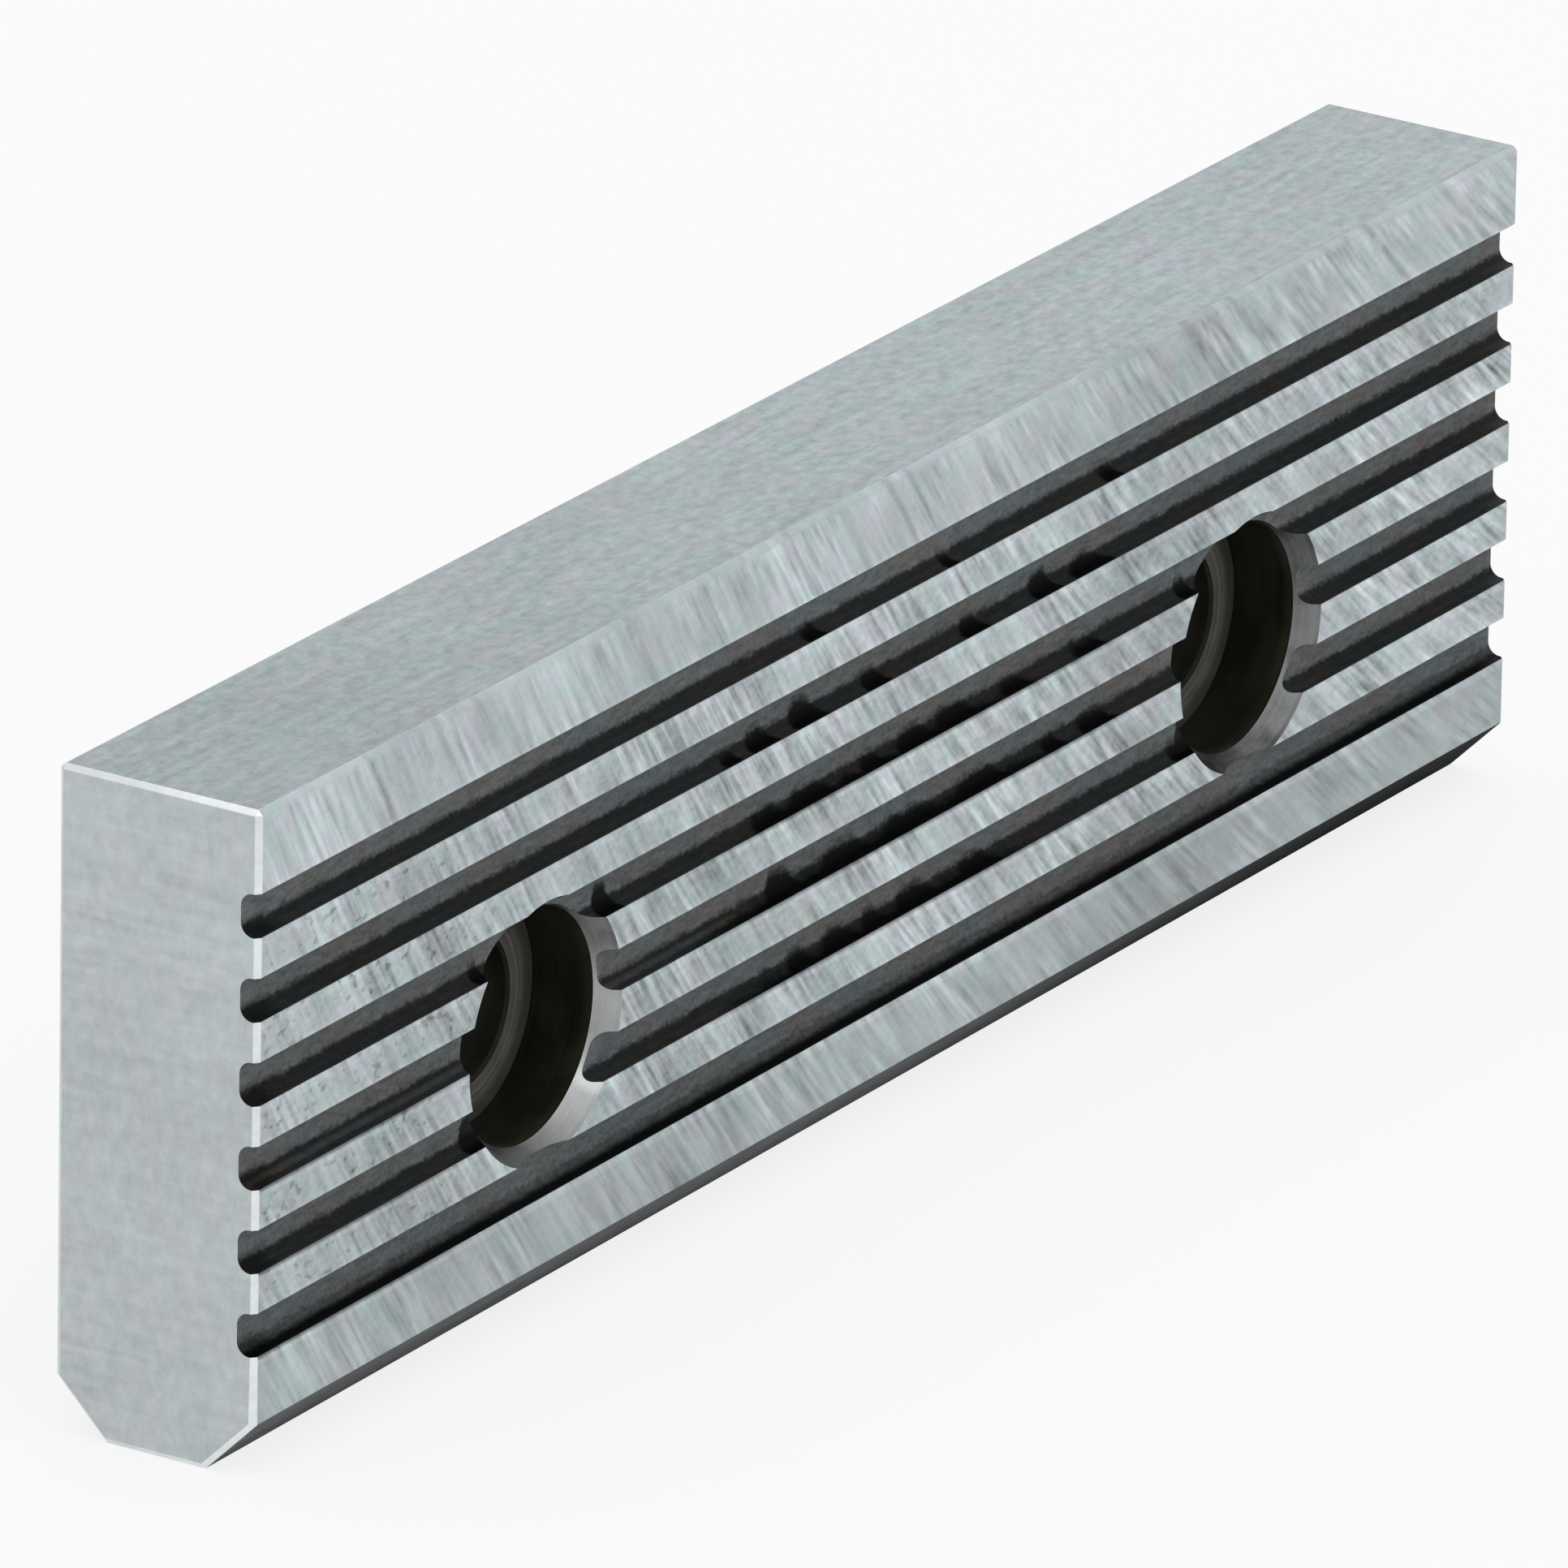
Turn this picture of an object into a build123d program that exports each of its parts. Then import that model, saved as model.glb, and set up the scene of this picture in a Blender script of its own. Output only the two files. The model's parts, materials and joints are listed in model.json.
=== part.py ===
from build123d import *
import os

# Jaw plate of a machine vise: one bar of ground steel with a grooved gripping face.
# Millimetres, +Z up. The jaw runs along X, its gripping face looks towards -Y and the
# plain face that seats against the vise looks towards +Y. The origin is the middle of
# the footprint, at the height of the lowest face.

# The bar
jaw_length = 135.0
jaw_height = 40.0
jaw_thickness = 13.4
foot_chamfer = 3.4       # 45 degrees, along both long edges of the foot
edge_break = 0.3         # small bevel round both ends and along the top edges

# The gripping face
groove_count = 6
groove_pitch = 5.0
groove_width = 2.6
groove_depth = 1.2
groove_root_radius = 0.8
upper_land = 4.92        # plain band between the top face and the first groove

# The two holes for socket head screws, sunk into the gripping face
screw_spacing = 76.0
screw_height = 17.5      # from the foot up to the screw axis
shank_diameter = 9.0
head_diameter = 14.0
head_depth = 5.5         # from the gripping face down to the shoulder
mouth_widening = 0.9     # how much wider the countersunk mouth is than the head bore, on the radius
mouth_depth = 1.4        # how far the countersink runs in
shoulder_break = 0.2     # bevel where the shank hole meets the shoulder
exit_break = 0.4         # bevel where the shank hole leaves the seat

overshoot = 1.0          # how far a cutter runs past the faces that it opens

grip_y = -jaw_thickness / 2
groove_middles = [
    jaw_height - upper_land - groove_width / 2 - i * groove_pitch for i in range(groove_count)
]


def bar():
    """The bar before it is machined: an extruded section with its edges broken."""
    with BuildPart() as blank:
        with BuildSketch(Plane.YZ) as section:
            Rectangle(jaw_thickness, jaw_height, align=(Align.CENTER, Align.MIN))
            foot_corners = section.vertices().group_by(Axis.Y)[0]
            chamfer(foot_corners, foot_chamfer)
        extrude(amount=jaw_length / 2, both=True)
        end_faces = blank.faces().filter_by(Axis.X)
        top_edges = blank.faces().sort_by(Axis.Z)[-1].edges().filter_by(Axis.X)
        chamfer(end_faces.edges() + top_edges, edge_break)
    return blank.part


def grooves():
    """The grip grooves: slots with rounded roots, cut from end to end of the face."""
    with BuildPart() as cutters:
        with BuildSketch(Plane.YZ):
            with Locations(*[(grip_y, middle) for middle in groove_middles]):
                RectangleRounded(2 * groove_depth, groove_width, groove_root_radius)
        extrude(amount=jaw_length / 2 + overshoot, both=True)
    return cutters.part


def screw_hole(x):
    """One stepped screw hole, turned about its axis: countersunk mouth, head bore, shoulder, shank hole."""
    head_radius = head_diameter / 2
    shank_radius = shank_diameter / 2
    widening_past_face = mouth_widening * (1 + overshoot / mouth_depth)
    mouth = Plane(origin=(x, grip_y, screw_height), x_dir=(1, 0, 0), z_dir=(0, 0, 1))
    with BuildPart() as cutter:
        with BuildSketch(mouth):
            with BuildLine():
                # each point is a radius and a depth below the gripping face
                Polyline(
                    (0, -overshoot),
                    (head_radius + widening_past_face, -overshoot),
                    (head_radius, mouth_depth),
                    (head_radius, head_depth),
                    (shank_radius + shoulder_break, head_depth),
                    (shank_radius, head_depth + shoulder_break),
                    (shank_radius, jaw_thickness - exit_break),
                    (shank_radius + exit_break + overshoot, jaw_thickness + overshoot),
                    (0, jaw_thickness + overshoot),
                    close=True,
                )
            make_face()
        revolve(axis=Axis(mouth.origin, mouth.y_dir))
    return cutter.part


jaw_plate = bar() - grooves()
for side in (-1, 1):
    jaw_plate -= screw_hole(side * screw_spacing / 2)

os.makedirs("parts", exist_ok=True)
export_step(jaw_plate, "parts/jaw_plate.step")
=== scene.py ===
import json
import math

import bmesh
import bpy
import numpy as np
from mathutils import Matrix, Vector

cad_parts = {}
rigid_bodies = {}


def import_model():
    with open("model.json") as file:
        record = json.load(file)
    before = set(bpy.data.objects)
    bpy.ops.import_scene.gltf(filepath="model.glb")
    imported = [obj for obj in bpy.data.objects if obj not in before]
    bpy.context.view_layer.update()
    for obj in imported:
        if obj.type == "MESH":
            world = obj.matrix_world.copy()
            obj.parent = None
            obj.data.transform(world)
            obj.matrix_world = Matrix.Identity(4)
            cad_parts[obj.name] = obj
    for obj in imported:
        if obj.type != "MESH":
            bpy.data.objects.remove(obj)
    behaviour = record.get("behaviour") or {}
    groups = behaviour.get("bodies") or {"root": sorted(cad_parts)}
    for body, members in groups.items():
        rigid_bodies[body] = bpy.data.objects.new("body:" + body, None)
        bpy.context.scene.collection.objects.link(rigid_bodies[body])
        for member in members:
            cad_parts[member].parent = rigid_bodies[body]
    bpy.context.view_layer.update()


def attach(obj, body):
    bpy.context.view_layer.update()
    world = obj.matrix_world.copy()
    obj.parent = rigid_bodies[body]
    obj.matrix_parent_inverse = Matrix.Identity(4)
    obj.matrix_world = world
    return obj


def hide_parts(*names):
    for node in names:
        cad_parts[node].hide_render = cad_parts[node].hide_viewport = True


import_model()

# The bar and its gripping face
# A jaw plate starts as one bar of tool steel. Its foot is bevelled, six grooves are milled along
# the gripping face, and after hardening the outside is ground and its sharp corners are broken.
# Its sizes are in millimetres, and the finished mesh is scaled to metres by MM.
LENGTH, HEIGHT, THICKNESS = 135.0, 40.0, 13.4
FOOT_BEVEL = 3.4
CORNER_BREAK = 0.3
GROOVES, PITCH, GROOVE_WIDTH, GROOVE_DEPTH = 6, 5.0, 2.6, 1.2
TOP_BAND = 4.92
ROOT_RADIUS = 0.8
STONED_RADIUS = 0.06
ARC_POINTS, BREAK_POINTS = 9, 4
SAME = 1e-9
GRIP_Y = -THICKNESS / 2
FIRST_GROOVE_Z = HEIGHT - TOP_BAND - GROOVE_WIDTH / 2
MM = 0.001

# The finishes of its faces, which a mesh face names by their places in this list.
FINISHES = ["ground_grip", "ground_long", "ground_end", "broken_corner_highlight", "foot_bevel",
            "groove_scale", "bore_scale", "turned_seat", "screw_mouth"]


def rounded(corners, radii, points):
    """A closed outline with each corner replaced by an arc that touches both of its sides.

    The arc's centre lies on the corner's bisector, at radius / sin(half the corner's angle), and
    its points swing evenly from one side's touching point to the other's.
    """
    before = np.roll(corners, 1, axis=0) - corners
    after = np.roll(corners, -1, axis=0) - corners
    before /= np.linalg.norm(before, axis=1, keepdims=True)
    after /= np.linalg.norm(after, axis=1, keepdims=True)
    half = np.arccos(np.clip((before * after).sum(1), -1, 1)) / 2
    bisector = (before + after) / np.linalg.norm(before + after, axis=1, keepdims=True)
    centre = corners + bisector * (radii / np.sin(half))[:, None]
    first = corners + before * (radii / np.tan(half))[:, None] - centre
    last = corners + after * (radii / np.tan(half))[:, None] - centre
    swing = (math.pi - 2 * half)[:, None]
    share = np.linspace(0, 1, points)[None]
    arcs = (first[:, None] * (np.sin((1 - share) * swing) / np.sin(swing))[..., None]
            + last[:, None] * (np.sin(share * swing) / np.sin(swing))[..., None])
    return (centre[:, None] + arcs).reshape(-1, 2)


def section():
    """The bar's outline across its length as (y, z) points, and the finish of each stretch.

    It goes up the gripping face, over the top and down the back: foot bevel, six grooves with
    rounded roots, and a small break at both top corners.
    """
    middles = FIRST_GROOVE_Z - PITCH * np.arange(GROOVES)[::-1]
    side, root = THICKNESS / 2, GRIP_Y + GROOVE_DEPTH
    groove_y = np.tile([GRIP_Y, root, root, GRIP_Y], GROOVES)
    groove_z = (middles[:, None] + GROOVE_WIDTH / 2 * np.array([-1, -1, 1, 1])).ravel()
    below = [(side - FOOT_BEVEL, 0), (FOOT_BEVEL - side, 0), (-side, FOOT_BEVEL)]
    above = [(-side, HEIGHT - CORNER_BREAK), (CORNER_BREAK - side, HEIGHT),
             (side - CORNER_BREAK, HEIGHT), (side, HEIGHT - CORNER_BREAK), (side, FOOT_BEVEL)]
    corners = np.vstack([below, np.stack([groove_y, groove_z], 1), above])
    radii = np.r_[[STONED_RADIUS] * 3,
                  np.tile([STONED_RADIUS, ROOT_RADIUS, ROOT_RADIUS, STONED_RADIUS], GROOVES),
                  [STONED_RADIUS] * 5]
    number = {name: i for i, name in enumerate(FINISHES)}
    grip, scale, long, bevel, broken = (number[n] for n in (
        "ground_grip", "groove_scale", "ground_long", "foot_bevel", "broken_corner_highlight"))
    flats = np.r_[[long, bevel, grip], np.tile([scale, scale, scale, grip], GROOVES),
                  [grip, long, broken, long, bevel]]
    arcs = np.r_[[bevel, bevel, bevel], np.tile([grip, scale, scale, grip], GROOVES),
                 [grip, grip, broken, broken, bevel]]
    stretches = np.hstack([np.repeat(arcs[:, None], ARC_POINTS - 1, 1), flats[:, None]]).ravel()
    return rounded(corners, radii, ARC_POINTS), stretches


def pressed_in(outline, inset):
    """The outline with each point moved inside the bar's flat sides, which are moved in by inset.

    A point that lies past a side moves back along that side's normal by as much as it is past it.
    """
    side, slope = THICKNESS / 2, math.sqrt(0.5)
    foot = slope * (side - FOOT_BEVEL)
    for normal, reach in (((-1, 0), side), ((1, 0), side), ((0, 1), HEIGHT), ((0, -1), 0),
                          ((-slope, -slope), foot), ((slope, -slope), foot)):
        excess = np.maximum(outline @ np.array(normal) - (reach - inset), 0)
        outline = outline - excess[:, None] * np.array(normal)
    return outline


def carried(outline, stretches, stations):
    """The outline carried along X through the stations (x, inset), closed by a flat face at each end."""
    rings = np.stack([pressed_in(outline, inset) for _, inset in stations])
    count = len(outline)
    along = np.broadcast_to(stations[:, 0][:, None, None], (len(stations), count, 1))
    points = np.concatenate([along, rings], 2).reshape(-1, 3)
    ring, point = np.meshgrid(np.arange(len(stations) - 1), np.arange(count), indexing="ij")
    here, there = ring * count, (ring + 1) * count
    following = (point + 1) % count
    quads = np.stack([here + point, there + point, there + following, here + following], -1)
    broken = FINISHES.index("broken_corner_highlight")
    narrowing = np.abs(np.diff(stations[:, 1])) > SAME
    finish = np.where(narrowing[:, None], broken, stretches)
    inside = (stretches == FINISHES.index("groove_scale"))[None]
    finish = np.where(inside, stretches[None], finish)
    ends = [np.arange(count), (len(stations) - 1) * count + np.arange(count)[::-1]]
    faces = quads.reshape(-1, 4).tolist() + [e.tolist() for e in ends]
    return points, faces, np.r_[finish.ravel(), [FINISHES.index("ground_end")] * 2]


def solid(name, points, faces, finish):
    """An object of those points and faces, each face carrying the number of its finish."""
    mesh = bpy.data.meshes.new(name)
    mesh.from_pydata(points.tolist(), [], faces)
    for _ in FINISHES:
        mesh.materials.append(None)
    mesh.polygons.foreach_set("material_index", np.asarray(finish, np.int32))
    mesh.update()
    body = bpy.data.objects.new(name, mesh)
    bpy.context.scene.collection.objects.link(body)
    return body


# The break round an end, as distances from the end and insets: the two corners of a bevel across a
# right angle, each rounded. The right angle's sides are long enough to leave those corners alone.
AWAY = 9.0
bevelled = np.array([[AWAY, 0], [CORNER_BREAK, 0], [0, CORNER_BREAK], [0, AWAY], [AWAY, AWAY]])
end_break = rounded(bevelled, np.full(5, STONED_RADIUS), BREAK_POINTS)[BREAK_POINTS:3 * BREAK_POINTS]
left_end = np.stack([-LENGTH / 2 + end_break[:, 0], end_break[:, 1]], 1)[::-1]
stations = np.vstack([left_end, (left_end * [-1, 1])[::-1]])
bar = solid("bar", *carried(*section(), stations))

# The two screw holes
# Each is bored from the gripping face for a socket head screw: a countersunk mouth, a head bore
# whose flat seat has one fine turned ring, and the hole for the shank.
SCREW_SPACING, SCREW_Z = 76.0, 17.5
MOUTH_WIDENING, MOUTH_DEPTH = 0.9, 1.4
HEAD_RADIUS, HEAD_DEPTH = 7.0, 5.5
RING_RADIUS, RING_WIDTH, RING_DEPTH = 5.75, 0.2, 0.06
SHANK_RADIUS = 4.5
SHOULDER_BREAK, EXIT_BREAK = 0.2, 0.4
OVERRUN = 0.5
ROUND = 160
MERGED = 0.002
RIM_ANGLE, SHARP_ANGLE = math.radians(28), math.radians(32)


def turned_tool(stations, finish, x):
    """A cutter turned about the axis of a screw hole, as points, faces and the finish of each face.

    A station (radius, depth) goes round the circle x + radius cos a, SCREW_Z + radius sin a, at that
    depth below the gripping face. The first and last stations close it with a point on the axis.
    """
    radius, depth = stations[1:-1].T
    angle = np.linspace(0, 2 * math.pi, ROUND, endpoint=False)
    rings = np.stack([x + radius[:, None] * np.cos(angle),
                      np.broadcast_to(GRIP_Y + depth[:, None], (len(radius), ROUND)),
                      SCREW_Z + radius[:, None] * np.sin(angle)], -1).reshape(-1, 3)
    poles = [[x, GRIP_Y + stations[0, 1], SCREW_Z], [x, GRIP_Y + stations[-1, 1], SCREW_Z]]
    ring, spoke = np.meshgrid(np.arange(len(radius) - 1), np.arange(ROUND), indexing="ij")
    near, far, following = ring * ROUND, (ring + 1) * ROUND, (spoke + 1) % ROUND
    quads = np.stack([near + spoke, far + spoke, far + following, near + following], -1)
    rim = np.arange(ROUND)
    next_on_rim, last = (rim + 1) % ROUND, (len(radius) - 1) * ROUND
    front = np.stack([rim, next_on_rim, np.full(ROUND, len(rings))], 1)
    rear = np.stack([last + next_on_rim, last + rim, np.full(ROUND, len(rings) + 1)], 1)
    faces = quads.reshape(-1, 4).tolist() + front.tolist() + rear.tolist()
    numbers = np.array([FINISHES.index(f) for f in finish])
    return np.vstack([rings, poles]), faces, np.repeat(np.r_[numbers[1:-1], numbers[[0, -1]]], ROUND)


# The profile as (radius, depth below the gripping face), and the finish of each of its stretches.
hole_profile = np.array([
    (0, -OVERRUN),
    (HEAD_RADIUS + MOUTH_WIDENING * (1 + OVERRUN / MOUTH_DEPTH), -OVERRUN),
    (HEAD_RADIUS, MOUTH_DEPTH),
    (HEAD_RADIUS, HEAD_DEPTH),
    (RING_RADIUS + RING_WIDTH, HEAD_DEPTH),
    (RING_RADIUS + RING_WIDTH / 2, HEAD_DEPTH + RING_DEPTH),
    (RING_RADIUS - RING_WIDTH / 2, HEAD_DEPTH + RING_DEPTH),
    (RING_RADIUS - RING_WIDTH, HEAD_DEPTH),
    (SHANK_RADIUS + SHOULDER_BREAK, HEAD_DEPTH),
    (SHANK_RADIUS, HEAD_DEPTH + SHOULDER_BREAK),
    (SHANK_RADIUS, THICKNESS - EXIT_BREAK),
    (SHANK_RADIUS + EXIT_BREAK + OVERRUN, THICKNESS + OVERRUN),
    (0, THICKNESS + OVERRUN)])
hole_finish = (["screw_mouth"] * 2 + ["bore_scale"] + ["turned_seat"] * 5 + ["bore_scale"] * 2
               + ["screw_mouth"] * 3)
for side in (-1, 1):
    tool = solid("drill", *turned_tool(hole_profile, hole_finish, side * SCREW_SPACING / 2))
    cut = bar.modifiers.new("cut", "BOOLEAN")
    cut.operation, cut.solver, cut.object = "DIFFERENCE", "EXACT", tool
    tool.hide_render = True
rims = bar.modifiers.new("rims", "BEVEL")
rims.limit_method, rims.angle_limit = "ANGLE", RIM_ANGLE
rims.width, rims.segments = STONED_RADIUS, 2

finished = bpy.data.meshes.new_from_object(bar.evaluated_get(bpy.context.evaluated_depsgraph_get()))
finished.name = "jaw"
clean = bmesh.new()
clean.from_mesh(finished)
bmesh.ops.remove_doubles(clean, verts=clean.verts, dist=MERGED)
bmesh.ops.dissolve_degenerate(clean, edges=clean.edges, dist=MERGED)
clean.to_mesh(finished)
clean.free()
finished.transform(Matrix.Scale(MM, 4))
for spent in [o for o in bpy.data.objects if o.name.startswith(("drill", "bar"))]:
    bpy.data.objects.remove(spent)
jaw = bpy.data.objects.new("jaw", finished)
bpy.context.scene.collection.objects.link(jaw)
finished.shade_smooth()
finished.set_sharp_from_angle(angle=SHARP_ANGLE)
even = jaw.modifiers.new("even_shading", "WEIGHTED_NORMAL")
even.keep_sharp = True
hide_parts("jaw_plate")
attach(jaw, "root")


# The finishes
# One hardened bar has several: the outside is ground bright, with painted highlights on its broken
# corners; the grooves and the bores keep dark scale from hardening, darkened further by painted shade
# deep inside; the foot's bevels are painted dark as shade; and the seats and mouths of the screw holes
# are turned, the mouths with painted shade and a painted glint.
class Wire:
    """A value in a finish's node tree. + - * / and ** with wires or numbers add Math nodes."""

    def __init__(self, finish, socket):
        self.finish, self.socket = finish, socket

    def math(self, operation, *others):
        return self.finish.math(operation, self, *others)

    def __add__(self, other):
        return self.math("ADD", other)

    def __sub__(self, other):
        return self.math("SUBTRACT", other)

    def __mul__(self, other):
        return self.math("MULTIPLY", other)

    def __truediv__(self, other):
        return self.math("DIVIDE", other)

    def __pow__(self, other):
        return self.math("POWER", other)

    def __rsub__(self, other):
        return self.finish.math("SUBTRACT", other, self)

    __radd__, __rmul__ = __add__, __mul__

    def __abs__(self):
        return self.math("ABSOLUTE")

    def step(self, low, high):
        """0 below low, 1 above high, eased between them. With low above high it falls instead."""
        return self.finish.node("ShaderNodeMapRange", {"interpolation_type": "SMOOTHSTEP"},
                                {"Value": self, "From Min": low, "From Max": high})

    def marks(self, places):
        """The sum of soft marks along this value, each a (place, half width, strength)."""
        total = 0.0
        for place, half, strength in places:
            total = abs(self - place).step(half, half * 0.3) * strength + total
        return total


class Finish:
    """A material's node tree, with the place on the jaw in millimetres as the wires x, y and z.

    Steady values are set on the shader's own sockets.
    """

    def __init__(self, name, **steady):
        self.material = bpy.data.materials.new(name)
        self.material.use_nodes = True
        self.tree = self.material.node_tree
        self.tree.nodes.clear()
        place = self.node("ShaderNodeTexCoord", out="Object")
        scaled = self.node("ShaderNodeVectorMath", {"operation": "SCALE"}, {0: place, "Scale": 1 / MM})
        self.x, self.y, self.z = (
            self.node("ShaderNodeSeparateXYZ", inputs={0: scaled}, out=i) for i in range(3))
        self.shader = self.tree.nodes.new("ShaderNodeBsdfPrincipled")
        for socket, value in steady.items():
            self.shader.inputs[socket.replace("_", " ")].default_value = value
        output = self.tree.nodes.new("ShaderNodeOutputMaterial")
        self.tree.links.new(self.shader.outputs[0], output.inputs["Surface"])

    def node(self, kind, settings=None, inputs=None, out=0):
        """Adds a node, sets it, then fills its sockets with values or links, and gives one output."""
        node = self.tree.nodes.new(kind)
        for key, value in (settings or {}).items():
            setattr(node, key, value)
        for key, value in (inputs or {}).items():
            if isinstance(value, Wire):
                self.tree.links.new(value.socket, node.inputs[key])
            else:
                node.inputs[key].default_value = value
        return Wire(self, node.outputs[out])

    def math(self, operation, *values):
        return self.node("ShaderNodeMath", {"operation": operation}, dict(enumerate(values)))

    def grain(self, x, y, z, detail=2.0, roughness=0.5):
        """Noise about 0.5 with grains one unit across in the three given directions."""
        where = self.node("ShaderNodeCombineXYZ", inputs={0: x, 1: y, 2: z})
        return self.node("ShaderNodeTexNoise", inputs={
            "Vector": where, "Scale": 1.0, "Detail": detail, "Roughness": roughness}, out="Fac")

    def blend(self, share, first, second):
        """A colour between first and second."""
        return self.node("ShaderNodeMix", {"data_type": "VECTOR"},
                         {0: share, 4: first, 5: second}, out=1)

    def toned(self, colour, strength):
        """A colour made lighter or darker by strength."""
        return self.node("ShaderNodeVectorMath", {"operation": "SCALE"}, {0: colour, "Scale": strength})

    def feed(self, colour, roughness, height, relief):
        """Feeds the shader: colour, roughness, and a bump whose height is in units of relief, in mm."""
        bump = self.node("ShaderNodeBump", inputs={
            "Height": height * relief * MM, "Strength": 1.0, "Distance": 1.0})
        for socket, wire in (("Base Color", colour), ("Roughness", roughness), ("Normal", bump)):
            self.tree.links.new(wire.socket, self.shader.inputs[socket])
        return self.material


# The grinding strokes lie on arcs about this point (x, z), where the wheel's axis was, and an angle
# about it times STROKE_REACH is a length along them.
STROKE_CENTRE, STROKE_REACH = (190.0, 180.0), 270.0
# The strokes that stand out on the plain bands above and below the grooves: where each crosses the
# height given for its band, its half width, and how much darker or lighter it is.
TOP_STROKES_Z, LOW_STROKES_Z = 37.5, 5.4
TOP_STROKES = [
    (-55.3, 0.35, -0.098), (-50.2, 0.42, -0.14), (-48.4, 0.35, -0.112), (-47.5, 0.35, 0.14),
    (-46.3, 0.35, -0.098), (-44.2, 0.35, -0.112), (-28.5, 0.49, -0.112), (-16.5, 0.42, -0.098),
    (-13.3, 0.49, 0.112), (-11.8, 0.42, -0.154), (-1.0, 0.42, -0.182), (0.2, 0.35, 0.154),
    (1.2, 0.35, -0.154), (8.5, 0.42, -0.098), (10.5, 0.49, 0.112), (19.7, 0.49, 0.112),
    (31.8, 0.49, -0.154), (35.6, 0.42, 0.126), (37.0, 0.42, -0.126), (39.6, 0.42, 0.112),
    (47.6, 0.42, -0.098), (50.1, 0.35, -0.126), (51.3, 0.35, 0.126), (52.5, 0.42, -0.21),
    (61.2, 0.42, -0.126), (62.6, 0.42, 0.112)]
LOW_STROKES = [
    (-24.0, 0.49, 0.112), (-14.8, 0.42, 0.126), (-1.5, 0.42, 0.112), (8.8, 0.42, -0.126),
    (12.0, 0.42, 0.112), (14.8, 0.49, -0.112), (25.0, 0.42, -0.126), (27.3, 0.42, -0.126),
    (29.0, 0.42, 0.168), (30.2, 0.35, -0.168), (38.9, 0.35, -0.112), (39.8, 0.35, 0.126),
    (59.2, 0.42, 0.112), (63.3, 0.42, 0.126)]
# Broad worn patches along the gripping face: middle, half width, and how much lighter or darker.
STAINS = [(-61.0, 7.0, 0.08), (-51.0, 7.0, -0.08), (-38.0, 7.0, 0.05), (-25.0, 9.0, -0.08),
          (4.0, 15.0, 0.05), (27.0, 12.0, -0.14), (57.0, 9.0, 0.03)]
# Single lands that are stained or rubbed bright: the middle of the land, and the marks along it.
LAND_MARKS = [(31.3, [(-26.0, 14.0, -0.08), (61.0, 7.0, -0.15)]), (26.3, [(28.0, 6.5, -0.20)]),
              (16.3, [(61.0, 7.0, 0.13)]), (11.3, [(26.0, 9.0, 0.10), (44.0, 5.0, -0.11)])]
LOWEST_GROOVE = HEIGHT - TOP_BAND - GROOVE_WIDTH - (GROOVES - 1) * PITCH
UNDER_LIP = 0.5


def through_groove(f):
    """How far a point is above the lower wall of its groove, and the number of that groove from below.

    The count starts UNDER_LIP below each lower wall, so that a land's upper rim is just under zero.
    """
    climb = (f.z - LOWEST_GROOVE + UNDER_LIP) / PITCH
    number = climb.math("FLOOR")
    return (climb - number) * PITCH - UNDER_LIP, number


def stroke_lines(f, across, along, strength):
    """Uneven grinding strokes, from broad faint ones to hair lines, as a tone about zero.

    The finer half of them is also given, about 0.5, for the gloss and the relief.
    """
    broad = f.grain(across * 0.45, along * 0.07, 3.7, 1.0)
    middle = f.grain(across * 1.8, along * 0.17, 9.1, 1.0)
    hair = f.grain(across * 4.8, along * 0.26, 5.3, 2.0)
    bunched = f.grain(across * 0.22, along * 0.16, 7.7, 1.0).step(0.36, 0.62) * 0.9 + 0.6
    finer = (middle - 0.5) * 0.85 + (hair - 0.5) * 0.32
    return (broad - 0.5) * (0.50 * strength) + finer * bunched * strength, middle * 0.4 + hair * 0.6


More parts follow.
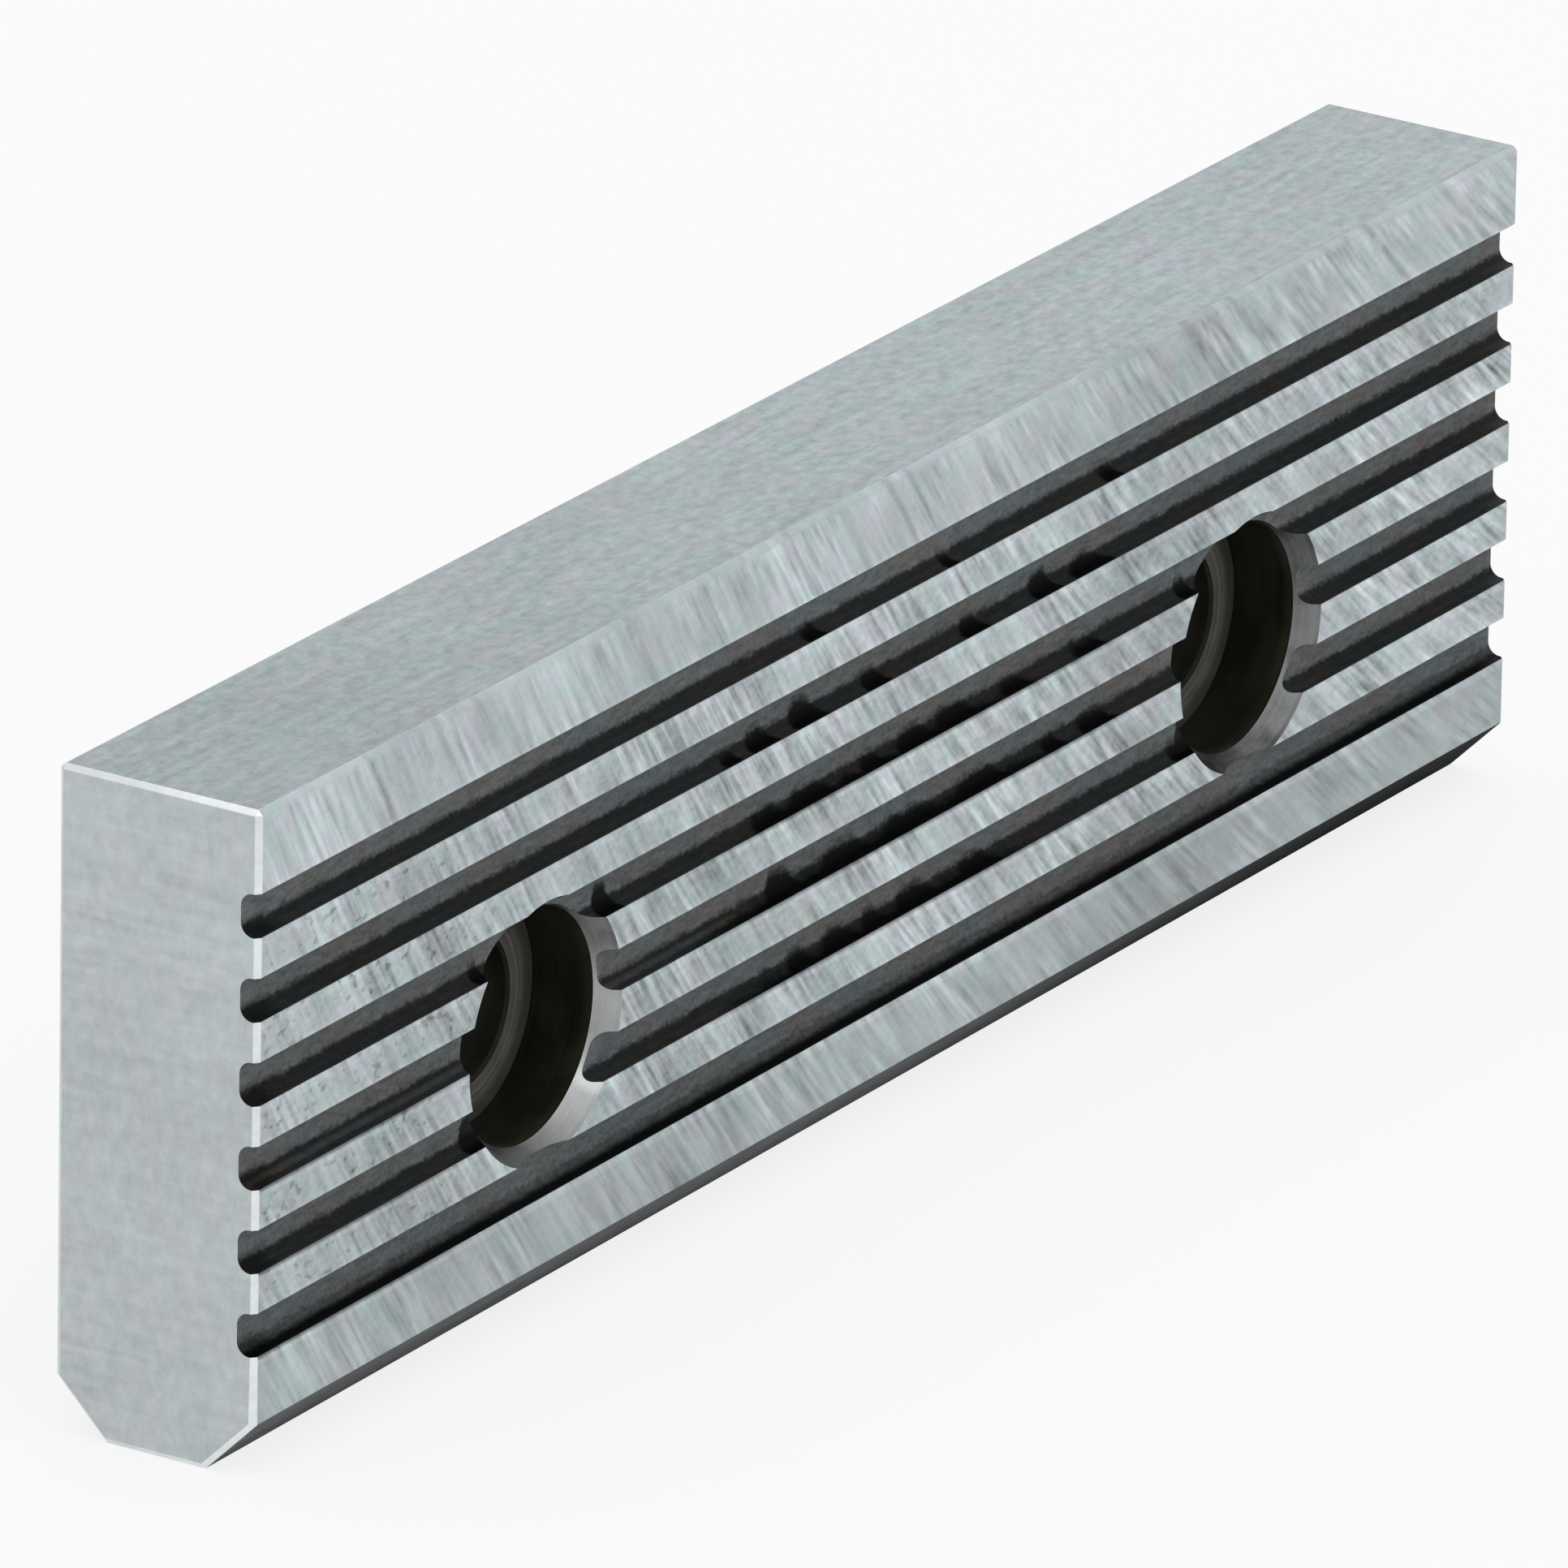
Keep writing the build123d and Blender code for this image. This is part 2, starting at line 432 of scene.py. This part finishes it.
def ground_grip():
    """The gripping face: strokes in arcs over faint stains and a fine mottle.

    The lands have a painted highlight at their rims, dark specks lie near the left end, and in places
    the scale of a groove spills over its lower lip.
    """
    f = Finish("ground_grip", Metallic=1.0)
    dx, dz = f.x - STROKE_CENTRE[0], f.z - STROKE_CENTRE[1]
    across = (dx * dx + dz * dz) ** 0.5
    along = f.math("ARCTAN2", dz, dx) * STROKE_REACH
    lines, fine = stroke_lines(f, across, along, 1.0)
    lands = f.z.step(35.4, 34.8) * f.z.step(7.0, 7.6)
    single = 0.0
    for strokes, z, low, high in ((TOP_STROKES, TOP_STROKES_Z, 34.8, 35.2),
                                  (LOW_STROKES, LOW_STROKES_Z, 7.8, 7.4)):
        arcs = [(math.hypot(x - STROKE_CENTRE[0], z - STROKE_CENTRE[1]), half, tone)
                for x, half, tone in strokes]
        single = across.marks(arcs) * f.z.step(low, high) + single
    for middle, marks in LAND_MARKS:
        single = f.x.marks(marks) * abs(f.z - middle).step(1.9, 1.3) + single
    broken = f.grain(across * 0.8, along * 0.5, 2.2, 2.0).step(0.30, 0.50)
    stain = f.grain(f.x * 0.22, 4.4, f.z * 0.30, 3.0, 0.55)
    mottle = f.grain(f.x * 1.4, 6.1, f.z * 1.9, 2.0, 0.65)
    flecks = f.grain(f.x * 1.25, 1.7, f.z * 1.7, 1.0).step(0.62, 0.72)
    speck = flecks * f.x.step(-38.0, -50.0) * (lands * 0.8 + 0.2)
    rise, number = through_groove(f)
    middle_of_land = (GROOVE_WIDTH + PITCH) / 2
    # Painted highlight: the rims of the lands are painted brighter.
    rim = abs(rise - middle_of_land).step(0.75, 1.15) * f.z.step(36.2, 35.8) * f.z.step(6.6, 7.0)

    strength = (lands * (0.55 - f.x.step(-44.0, -58.0) * 0.4) + 0.90) * f.z.step(39.9, 39.3)
    worn_corner = f.x.step(-40.0, -56.0) * f.z.step(22.0, 14.0) * lands
    tone = (1.0 + lines * strength + single * broken + (stain - 0.5) * 0.30
            + (mottle - 0.5) * (lands * 0.36 + 0.24) + rim * 0.10 - speck * 0.28
            + f.x.marks(STAINS) - worn_corner * 0.07)
    # The middle three grooves spill in the middle of the jaw, the lowest three at its left end.
    in_middle = abs(number - 2.0).step(1.6, 1.4) * abs(f.x - 2.0).step(26.0, 16.0)
    at_left = number.step(2.6, 2.4) * f.x.step(-42.0, -54.0)
    spill = abs(rise).step(0.26, 0.06) * (in_middle + at_left * 1.2)
    # Painted light and shade by height: the face is painted a little lighter upwards and at the top
    # band, darker at the low band, and a painted highlight runs along the top edge.
    painted_top_light = f.z.step(34.5, 35.2) * (0.10 - f.x.step(-20.0, -8.0) * 0.08)
    painted_low_shade = f.z.step(7.6, 6.8) * (f.x.step(5.0, 25.0) * 0.06 + 0.06)
    row = 0.925 + f.z.step(5.0, 27.0) * 0.02 - painted_low_shade + painted_top_light
    edge = f.z.step(39.66, 39.76) * (f.x.step(-35.0, 10.0) * 0.11 + 0.07)
    glint = edge + f.z.step(37.4, 39.6) * 0.05 + 1.0

    hue = f.grain(f.x * 0.32, 8.2, f.z * 0.6, 2.0).step(0.36, 0.64)
    straw = f.grain(f.x * 0.4, 2.6, f.z * 0.7, 1.0).step(0.5, 0.68)
    colour = f.blend(hue, (0.445, 0.525, 0.530), (0.489, 0.518, 0.554))
    colour = f.blend(straw * 0.6, colour, (0.486, 0.530, 0.520))
    roughness = 0.38 + (fine - 0.5) * 0.20 + (stain - 0.5) * 0.15 + speck * 0.12
    return f.feed(f.toned(colour, tone * (1.0 - spill * 0.5) * row * glint), roughness,
                  fine + single * 4.0 - speck * 0.7, 0.003)


def ground_plain(name, colour, lengthwise, strength, mottled, tinted, shade):
    """A plain ground face: straight fine strokes along x, or along y on an end, over a faint mottle.

    Shade gives a wire, the values where the face is darkest and brightest, and the share it loses.
    """
    f = Finish(name, Metallic=1.0)
    across, along = (f.y + f.z, f.x) if lengthwise else (f.z, f.y)
    strokes, fine = stroke_lines(f, across, along, strength)
    mottle = f.grain(f.x * 0.9, f.y * 1.3, f.z * 1.0, 3.0, 0.7)
    stain = f.grain(f.x * 0.07, f.y * 0.14, f.z * 0.10, 2.0)
    hue = f.grain(f.x * 0.22, f.y * 0.5, f.z * 0.3, 2.0)
    # The back is the calmest face.
    calm = 1.0 - f.y.step(6.4, 6.6) * 0.5
    wire, darkest, brightest, share = shade(f)
    tone = 1.0 + strokes + (mottle - 0.5) * calm * mottled + (stain - 0.5) * 0.14
    tone = tone * (wire.step(darkest, brightest) * share + (1.0 - share))
    green = (1.0 - tinted, 1.0 + tinted * 0.4, 1.0 - tinted * 0.3)
    violet = (1.0 + tinted, 1.0 - tinted * 0.3, 1.0 + tinted * 0.6)
    tint = f.blend((hue - 0.5) * calm * 3.8 + 0.5, green, violet)
    tinged = f.node("ShaderNodeVectorMath", {"operation": "MULTIPLY"}, {0: tint, 1: colour})
    roughness = 0.36 + (fine - 0.5) * 0.15 + (stain - 0.5) * 0.12
    return f.feed(f.toned(tinged, tone), roughness, fine + mottle * 0.6, 0.002)


# Black blots of quench scale along the grooves, from the top groove down: middle, half length, and
# how far up the groove's lower wall and root it climbs.
BLOTS = [
    [(-9.6, 1.3, 1.4), (4.9, 0.9, 1.1), (22.6, 1.2, 1.4)],
    [(-18.2, 1.2, 1.5), (-14.9, 1.9, 1.7), (-10.0, 2.2, 2.0), (-2.8, 1.6, 1.7), (7.8, 1.8, 1.5),
     (15.6, 1.8, 2.0), (20.6, 2.8, 1.7)],
    [(-44.1, 0.9, 1.9), (-30.9, 1.4, 2.3), (-2.0, 24.0, 0.8), (-13.9, 2.4, 0.8), (-9.5, 2.8, 0.9),
     (-2.8, 1.4, 0.6), (1.9, 2.4, 0.8), (6.4, 2.4, 0.9), (12.6, 1.8, 0.8), (20.4, 2.3, 1.2),
     (31.4, 1.1, 1.8)],
    [(-2.0, 30.0, 0.9), (-12.0, 2.1, 1.5), (-5.2, 3.0, 0.9), (1.4, 3.7, 0.8), (9.2, 3.0, 0.9),
     (16.9, 1.3, 0.9), (21.6, 2.4, 1.4)],
    [(-44.2, 1.6, 2.7), (-2.0, 24.0, 0.9), (-10.1, 1.6, 1.0), (-5.8, 1.9, 0.8), (-2.2, 1.3, 0.8),
     (2.4, 2.5, 1.1), (9.1, 2.3, 0.9), (31.4, 1.8, 1.6), (32.2, 0.9, 1.6)],
    []]
# The scale's own colours, and the same scale darkened as painted shade round the lower root.
UPPER_SCALE, UPPER_RUST = (0.114, 0.131, 0.135), (0.127, 0.124, 0.121)
PAINTED_SHADE_SCALE, PAINTED_SHADE_RUST = (0.0150, 0.0180, 0.0182), (0.0185, 0.0175, 0.0155)


def groove_scale():
    """Scale in the grooves: matt grey oxide in faint brown and blue patches, with painted shade making
    it dark round the lower root.

    Blots of black scale lie on the lower wall and climb the root, and each groove is darkest at its
    left end. The lowest groove has softer painted shade at its root and a black line of painted shade in
    the corner under it.
    """
    f = Finish("groove_scale", Specular_IOR_Level=0.04)
    patch = f.grain(f.x * 0.14, f.y * 0.5, f.z * 0.30, 3.0, 0.6)
    grain = f.grain(f.x * 0.8, f.y * 2.5, f.z * 2.5, 3.0, 0.6)
    speck = f.grain(f.x * 3.0, f.y * 4.0, f.z * 4.0, 2.0)
    lump = f.grain(f.x * 0.55, 3.3, f.z * 0.2, 1.0)
    rise, number = through_groove(f)
    # Up the lower wall and then up the root: the wall's share is its depth from the face.
    hollow = rise + (f.y - GRIP_Y) * 0.7
    blots = 0.0
    for row, places in enumerate(BLOTS):
        if places:
            here = abs(number - (GROOVES - 1 - row)).step(0.6, 0.4)
            blots = f.x.marks(places) * here + blots
    ragged = (grain - 0.5) * 0.45 + (speck - 0.5) * 0.25
    # Painted shade: the lower wall, the lower root and the foot of the back wall are painted dark, with
    # painted light at the lip by the groove's opening. The lowest groove gets a softer root and a dark
    # painted line along its lower wall.
    lowest = number.step(0.6, 0.4)
    root = (hollow + ragged).step(1.60, 1.14) * (1.0 - lowest * 0.45)
    lip = (hollow + ragged * 0.5).step(0.85, 0.55) * (1.0 - lowest)
    last = (hollow + ragged * 0.5).step(1.08, 0.45) * lowest
    blot = (blots + (lump - 0.5) * 0.9 - hollow - ragged * 1.6).step(-0.38, 0.60)
    blot = blot * blots.step(0.10, 0.75)
    # A worn pale ledge runs along the fourth groove to the left of its blots.
    ledge = abs(hollow - 0.68).step(0.34, 0.10) * abs(number - 2.0).step(0.6, 0.4)
    ledge = ledge * f.x.step(-12.0, -20.0)
    left_end = (f.x + ragged * 3.0).step(-64.2, -66.2) * hollow.step(1.9, 1.3)
    top_groove = number.step(4.4, 4.6)

    upper = f.blend(patch.step(0.40, 0.62), UPPER_SCALE, UPPER_RUST)
    lower = f.blend(patch.step(0.45, 0.60), PAINTED_SHADE_SCALE, PAINTED_SHADE_RUST)
    tone = 1.0 + (grain - 0.5) * 1.1 + (speck - 0.5) * 0.9
    tone = tone * (1.0 + lip * 0.6 + ledge * 1.5) * (top_groove * 0.12 + 1.05)
    tone = tone * (1.0 - last * 0.95) * (1.0 - blot * 0.95) * (1.0 - left_end * 0.6)
    return f.feed(f.toned(f.blend(root, upper, lower), tone), 0.5 + (grain - 0.5) * 0.3,
                  grain + speck * 0.6, 0.008)


def foot_painted_shade():
    """The foot's bevels, painted dark as shade: they face the floor close under them, where it lies in
    shadow. They are lighter towards the left end.
    """
    f = Finish("foot_bevel", Specular_IOR_Level=0.0)
    patch = f.grain(f.x * 0.3, f.y * 1.2, f.z * 1.2, 3.0, 0.6)
    colour = f.blend(f.x.step(-10.0, 55.0), (0.165, 0.170, 0.173), (0.048, 0.050, 0.050))
    return f.feed(f.toned(colour, 1.0 + (patch - 0.5) * 0.8), 0.5 + (patch - 0.5) * 0.2, patch, 0.008)


def bore_scale():
    """The bores keep the same scale with quenching oil on it, darkened to olive black by painted shade
    deep in the bores, with faint turning rings.

    It is a little paler in the shank hole, and painted lighter at the front of the head bore, near its
    mouth.
    """
    f = Finish("bore_scale", Specular_IOR_Level=0.08)
    rings = f.grain(f.x * 0.1, f.y * 5.0, f.z * 0.1, 2.0)
    patch = f.grain(f.x * 0.3, f.y * 0.4, f.z * 0.3, 2.0)
    colour = f.blend(patch.step(0.40, 0.60), (0.0115, 0.0135, 0.0080), (0.0170, 0.0160, 0.0120))
    # Painted light: the front of the head bore, near the mouth, is painted lighter.
    paler = f.y.step(-0.7, 0.3) * 0.5 + f.y.step(-4.3, -5.1) * 0.8 + 1.0
    tone = (1.0 + (rings - 0.5) * 0.9 + (patch - 0.5) * 0.7) * paler
    return f.feed(f.toned(colour, tone), 0.45 + (patch - 0.5) * 0.2, rings + patch * 0.3, 0.006)


def about_screw(f):
    """How far a point is from the axis of its screw hole, and how high it is above that axis."""
    beside, above = abs(f.x) - SCREW_SPACING / 2, f.z - SCREW_Z
    return (beside * beside + above * above) ** 0.5, above


# Where the edge of the screw's head has worn a bright ring on the seat.
BRIGHT_RADIUS = 5.4


def turned_seat():
    """The seat of a screw head, turned flat: dull brown-grey scale, worn paler where the head bears."""
    f = Finish("turned_seat", Specular_IOR_Level=0.3)
    radius, _ = about_screw(f)
    rings = f.grain(radius * 5.0, 2.0, 1.1, 2.0)
    stain = f.grain(f.x * 0.6, f.y * 0.6, f.z * 0.6, 3.0)
    bright_ring = abs(radius - BRIGHT_RADIUS).step(0.16, 0.04)
    colour = f.blend(radius.step(6.3, 5.6), (0.048, 0.046, 0.041), (0.100, 0.096, 0.086))
    tone = 1.0 + bright_ring * 0.6 + (rings - 0.5) * 0.7 + (stain - 0.5) * 0.7
    return f.feed(f.toned(colour, tone), 0.45 + (stain - 0.5) * 0.3, rings + stain * 0.5, 0.006)


# The middle of a painted glint on the left countersink.
MOUTH_GLINT_X, MOUTH_GLINT_Z = -32.3, 12.6


def screw_mouth():
    """The countersinks, turned bright, with painted shade towards the top and the bottom of each.

    The right one is painted darker all over as shade, and the left one has a small painted glint at its
    lower right.
    """
    f = Finish("screw_mouth", Metallic=1.0)
    radius, above = about_screw(f)
    rings = f.grain(radius * 4.0, f.y * 4.0, 1.1, 2.0)
    stain = f.grain(f.x * 0.5, f.y * 0.8, f.z * 0.5, 3.0)
    ends = abs(above + 2.5).step(1.5, 6.0)
    mouth_glint = ((f.x - MOUTH_GLINT_X) ** 2.0 + (f.z - MOUTH_GLINT_Z) ** 2.0) ** 0.5
    # Painted shade and highlight: darker towards the top and bottom of each cone and all over the right
    # one, with a painted glint on the left one.
    tone = (1.0 - ends * 0.55) * (1.0 - f.x.step(0.0, 10.0) * 0.52)
    tone = tone + (rings - 0.5) * 0.25 + (stain - 0.5) * 0.6 + mouth_glint.step(1.0, 0.3) * 0.35
    return f.feed(f.toned((0.375, 0.385, 0.388), tone), 0.34 + (stain - 0.5) * 0.3,
                  rings + stain * 0.5, 0.005)


coats = {
    "ground_grip": ground_grip(),
    "ground_long": ground_plain(
        "ground_long", (0.437, 0.497, 0.511), True, strength=0.32, mottled=0.90, tinted=0.050,
        shade=lambda f: (f.x + f.y * 2.0, -95.0, 30.0, 0.17)),
    "ground_end": ground_plain(
        "ground_end", (0.500, 0.540, 0.550), False, strength=0.24, mottled=0.45, tinted=0.025,
        shade=lambda f: (f.z, 20.0, 37.0, 0.03)),
    # Painted highlight: the broken corners are painted much brighter than the ground faces, and brighter
    # towards the front.
    "broken_corner_highlight": ground_plain(
        "broken_corner_highlight", (0.77, 0.80, 0.81), True, strength=0.12, mottled=0.3, tinted=0.02,
        shade=lambda f: (f.y, 5.0, -5.0, 0.18)),
    "foot_bevel": foot_painted_shade(),
    "groove_scale": groove_scale(),
    "bore_scale": bore_scale(),
    "turned_seat": turned_seat(),
    "screw_mouth": screw_mouth(),
}
for number, name in enumerate(FINISHES):
    finished.materials[number] = coats[name]


# The studio
# A plain pale floor under soft light from all round, with two large soft lamps above.
def link_share(tree, path, socket, hidden, seen):
    """Gives socket the value seen for the camera's rays and in reflections, and hidden for the rest."""
    any_ray = path.outputs["Is Camera Ray"]
    for kind in ("Is Glossy Ray", "Is Transmission Ray"):
        either = tree.nodes.new("ShaderNodeMath")
        either.operation = "MAXIMUM"
        tree.links.new(any_ray, either.inputs[0])
        tree.links.new(path.outputs[kind], either.inputs[1])
        any_ray = either.outputs[0]
    level = tree.nodes.new("ShaderNodeMapRange")
    tree.links.new(any_ray, level.inputs["Value"])
    level.inputs["To Min"].default_value = hidden
    level.inputs["To Max"].default_value = seen
    tree.links.new(level.outputs[0], socket)


def plain(name, shade, share):
    """Pale matt paint. Most of it, share, shows as plain white to the camera and in reflections."""
    material = bpy.data.materials.new(name)
    material.use_nodes = True
    tree = material.node_tree
    tree.nodes.clear()
    new = tree.nodes.new
    matt, white, mixed, output, path = (new(kind) for kind in (
        "ShaderNodeBsdfDiffuse", "ShaderNodeEmission", "ShaderNodeMixShader",
        "ShaderNodeOutputMaterial", "ShaderNodeLightPath"))
    matt.inputs["Color"].default_value = (shade, shade, shade, 1)
    link_share(tree, path, mixed.inputs[0], hidden=0.0, seen=share)
    tree.links.new(matt.outputs[0], mixed.inputs[1])
    tree.links.new(white.outputs[0], mixed.inputs[2])
    tree.links.new(mixed.outputs[0], output.inputs["Surface"])
    return material


FLOOR_REACH = 6.0
floor_mesh = bpy.data.meshes.new("floor")
corners = np.array([(-1, -1, 0), (1, -1, 0), (1, 1, 0), (-1, 1, 0)]) * FLOOR_REACH
floor_mesh.from_pydata(corners.tolist(), [], [(0, 1, 2, 3)])
floor_mesh.materials.append(plain("floor_paint", shade=0.86, share=0.82))
floor = bpy.data.objects.new("floor", floor_mesh)
bpy.context.scene.collection.objects.link(floor)

world = bpy.data.worlds.new("studio")
bpy.context.scene.world = world
world.use_nodes = True
tree = world.node_tree
tree.nodes.clear()
sky = tree.nodes.new("ShaderNodeBackground")
out = tree.nodes.new("ShaderNodeOutputWorld")
sky_path = tree.nodes.new("ShaderNodeLightPath")
link_share(tree, sky_path, sky.inputs["Strength"], hidden=0.75, seen=1.0)
tree.links.new(sky.outputs[0], out.inputs["Surface"])


def lamp(name, place, width, power):
    """A square soft lamp that faces the jaw."""
    data = bpy.data.lights.new(name, "AREA")
    data.size, data.energy = width, power
    body = bpy.data.objects.new(name, data)
    bpy.context.scene.collection.objects.link(body)
    body.location = place
    body.rotation_mode = "QUATERNION"
    body.rotation_quaternion = Vector(place).to_track_quat("Z", "Y")


lamp("key", (0.15, 0.25, 1.45), width=2.4, power=9.0)
lamp("fill", (-0.3, -1.3, 0.95), width=1.9, power=8.0)

# The camera
# It stands to the left of the jaw and above it, far off with a long lens, as in the photograph.
camera_data = bpy.data.cameras.new("camera")
camera_data.lens, camera_data.sensor_width = 573.16, 36.0
camera_data.clip_start, camera_data.clip_end = 0.01, 100.0
camera = bpy.data.objects.new("camera", camera_data)
bpy.context.scene.collection.objects.link(camera)
camera.rotation_mode = "QUATERNION"
camera.location = (-1.13916, -0.71424, 0.53326)
camera.rotation_quaternion = (
    Matrix.Rotation(math.radians(-57.8526), 3, "Z")
    @ Matrix.Rotation(math.radians(90 - 20.9295), 3, "X")
    @ Matrix.Rotation(math.radians(1.0303), 3, "Z")).to_quaternion()
bpy.context.scene.camera = camera
bpy.context.scene.view_settings.view_transform = "Standard"
